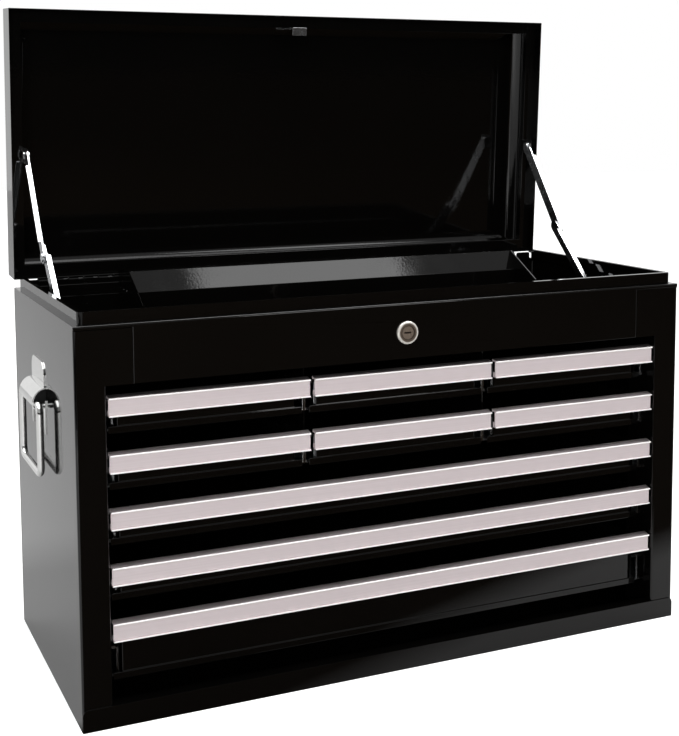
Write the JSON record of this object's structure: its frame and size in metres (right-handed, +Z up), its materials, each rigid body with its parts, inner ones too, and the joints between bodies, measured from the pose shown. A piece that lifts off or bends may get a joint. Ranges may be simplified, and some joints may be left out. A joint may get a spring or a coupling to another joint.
{
  "type": "tool chest",
  "caption": "Sheet-steel tool chest with a lift-up lid over an open till, small and full-width drawers on slides, aluminium pulls and side handles.",
  "frame": {"origin": "centre of the underside of the body", "axes": "+X to the right seen from the front, +Y to the back, +Z up"},
  "size_m": [0.636, 0.3183, 0.6225],
  "materials": {
    "black_paint": "gloss black powder coat",
    "pull_aluminium": "satin anodised extrusion",
    "zinc_steel": "bright zinc plate",
    "chrome": "polished chrome plate",
    "lock_nickel": "satin nickel"
  },
  "bodies": {
    "cabinet": {"side_panel_left": "black_paint", "side_panel_right": "black_paint", "back_panel": "black_paint", "bottom_panel": "black_paint", "bottom_rail": "black_paint", "header_panel": "black_paint", "top_rim": "black_paint", "till_floor": "black_paint", "till_rack": "black_paint", "bay_dividers": "black_paint", "rear_uprights": "black_paint", "cabinet_rails": "zinc_steel", "cabinet_hinge_leaf": "black_paint", "hinge_pin": "black_paint", "lock_barrel": "chrome", "lock_nut": "zinc_steel", "handle_bracket_left": "chrome", "handle_bracket_right": "chrome", "handle_rivets": "chrome", "stay_anchors": "zinc_steel"},
    "lid": {"lid_shell": "black_paint", "lid_frame": "black_paint", "lid_strips": "black_paint", "lid_hinge_leaf": "black_paint", "latch_hook": "zinc_steel"},
    "stay_upper_left": {"stay_upper_left": "zinc_steel"},
    "stay_lower_left": {"stay_lower_left": "zinc_steel"},
    "stay_upper_right": {"stay_upper_right": "zinc_steel"},
    "stay_lower_right": {"stay_lower_right": "zinc_steel"},
    "bail_left": {"handle_bail_left": "chrome"},
    "bail_right": {"handle_bail_right": "chrome"},
    "lock": {"lock_plug": "lock_nickel", "lock_cam": "zinc_steel"},
    "drawer_1": {"drawer_1_box": "black_paint", "drawer_1_pull": "pull_aluminium", "drawer_1_rails": "zinc_steel"},
    "drawer_2": {"drawer_2_box": "black_paint", "drawer_2_pull": "pull_aluminium", "drawer_2_rails": "zinc_steel"},
    "drawer_3": {"drawer_3_box": "black_paint", "drawer_3_pull": "pull_aluminium", "drawer_3_rails": "zinc_steel"},
    "drawer_4": {"drawer_4_box": "black_paint", "drawer_4_pull": "pull_aluminium", "drawer_4_rails": "zinc_steel"},
    "drawer_5": {"drawer_5_box": "black_paint", "drawer_5_pull": "pull_aluminium", "drawer_5_rails": "zinc_steel"},
    "drawer_6": {"drawer_6_box": "black_paint", "drawer_6_pull": "pull_aluminium", "drawer_6_rails": "zinc_steel"},
    "drawer_7": {"drawer_7_box": "black_paint", "drawer_7_pull": "pull_aluminium", "drawer_7_rails": "zinc_steel"},
    "drawer_8": {"drawer_8_box": "black_paint", "drawer_8_pull": "pull_aluminium", "drawer_8_rails": "zinc_steel"},
    "drawer_9": {"drawer_9_box": "black_paint", "drawer_9_pull": "pull_aluminium", "drawer_9_rails": "zinc_steel"}
  },
  "joints": [
    {"name": "lid_hinge", "type": "hinge", "parent": "cabinet", "child": "lid", "pos_m": [0, 0.13725, 0.35], "axis": [1, 0, 0], "range_deg": [0, 87]},
    {"name": "stay_upper_left_pivot", "type": "hinge", "parent": "lid", "child": "stay_upper_left", "pos_m": [-0.291, 0.12555, 0.4769], "axis": [1, 0, 0], "range_deg": [-139.87, 1]},
    {"name": "stay_lower_left_pivot", "type": "hinge", "parent": "cabinet", "child": "stay_lower_left", "pos_m": [-0.291, -0.01515, 0.316], "axis": [1, 0, 0], "range_deg": [-1, 121.83]},
    {"name": "stay_upper_right_pivot", "type": "hinge", "parent": "lid", "child": "stay_upper_right", "pos_m": [0.291, 0.12555, 0.4769], "axis": [1, 0, 0], "range_deg": [-139.87, 1]},
    {"name": "stay_lower_right_pivot", "type": "hinge", "parent": "cabinet", "child": "stay_lower_right", "pos_m": [0.291, -0.01515, 0.316], "axis": [1, 0, 0], "range_deg": [-1, 121.83]},
    {"name": "drawer_1_slide", "type": "slide", "parent": "cabinet", "child": "drawer_1", "axis": [0, -1, 0], "range_m": [0, 0.17]},
    {"name": "drawer_2_slide", "type": "slide", "parent": "cabinet", "child": "drawer_2", "axis": [0, -1, 0], "range_m": [0, 0.17]},
    {"name": "drawer_3_slide", "type": "slide", "parent": "cabinet", "child": "drawer_3", "axis": [0, -1, 0], "range_m": [0, 0.17]},
    {"name": "drawer_4_slide", "type": "slide", "parent": "cabinet", "child": "drawer_4", "axis": [0, -1, 0], "range_m": [0, 0.17]},
    {"name": "drawer_5_slide", "type": "slide", "parent": "cabinet", "child": "drawer_5", "axis": [0, -1, 0], "range_m": [0, 0.17]},
    {"name": "drawer_6_slide", "type": "slide", "parent": "cabinet", "child": "drawer_6", "axis": [0, -1, 0], "range_m": [0, 0.17]},
    {"name": "drawer_7_slide", "type": "slide", "parent": "cabinet", "child": "drawer_7", "axis": [0, -1, 0], "range_m": [0, 0.17]},
    {"name": "drawer_8_slide", "type": "slide", "parent": "cabinet", "child": "drawer_8", "axis": [0, -1, 0], "range_m": [0, 0.17]},
    {"name": "drawer_9_slide", "type": "slide", "parent": "cabinet", "child": "drawer_9", "axis": [0, -1, 0], "range_m": [0, 0.17]},
    {"name": "bail_left_swing", "type": "hinge", "parent": "cabinet", "child": "bail_left", "pos_m": [-0.31315, 0.016, 0.258], "axis": [0, 1, 0], "range_deg": [0, 100]},
    {"name": "bail_right_swing", "type": "hinge", "parent": "cabinet", "child": "bail_right", "pos_m": [0.31315, 0.016, 0.258], "axis": [0, 1, 0], "range_deg": [-100, 0]},
    {"name": "lock_turn", "type": "hinge", "parent": "cabinet", "child": "lock", "pos_m": [0, -0.12125, 0.318], "axis": [0, 1, 0], "range_deg": [-90, 0]}
  ],
  "couplings": [
    {"joint": "stay_upper_left_pivot", "follows": "lid_hinge", "ratio": -1.5962},
    {"joint": "stay_lower_left_pivot", "follows": "lid_hinge", "ratio": 1.3889},
    {"joint": "stay_upper_right_pivot", "follows": "lid_hinge", "ratio": -1.5962},
    {"joint": "stay_lower_right_pivot", "follows": "lid_hinge", "ratio": 1.3889}
  ]
}
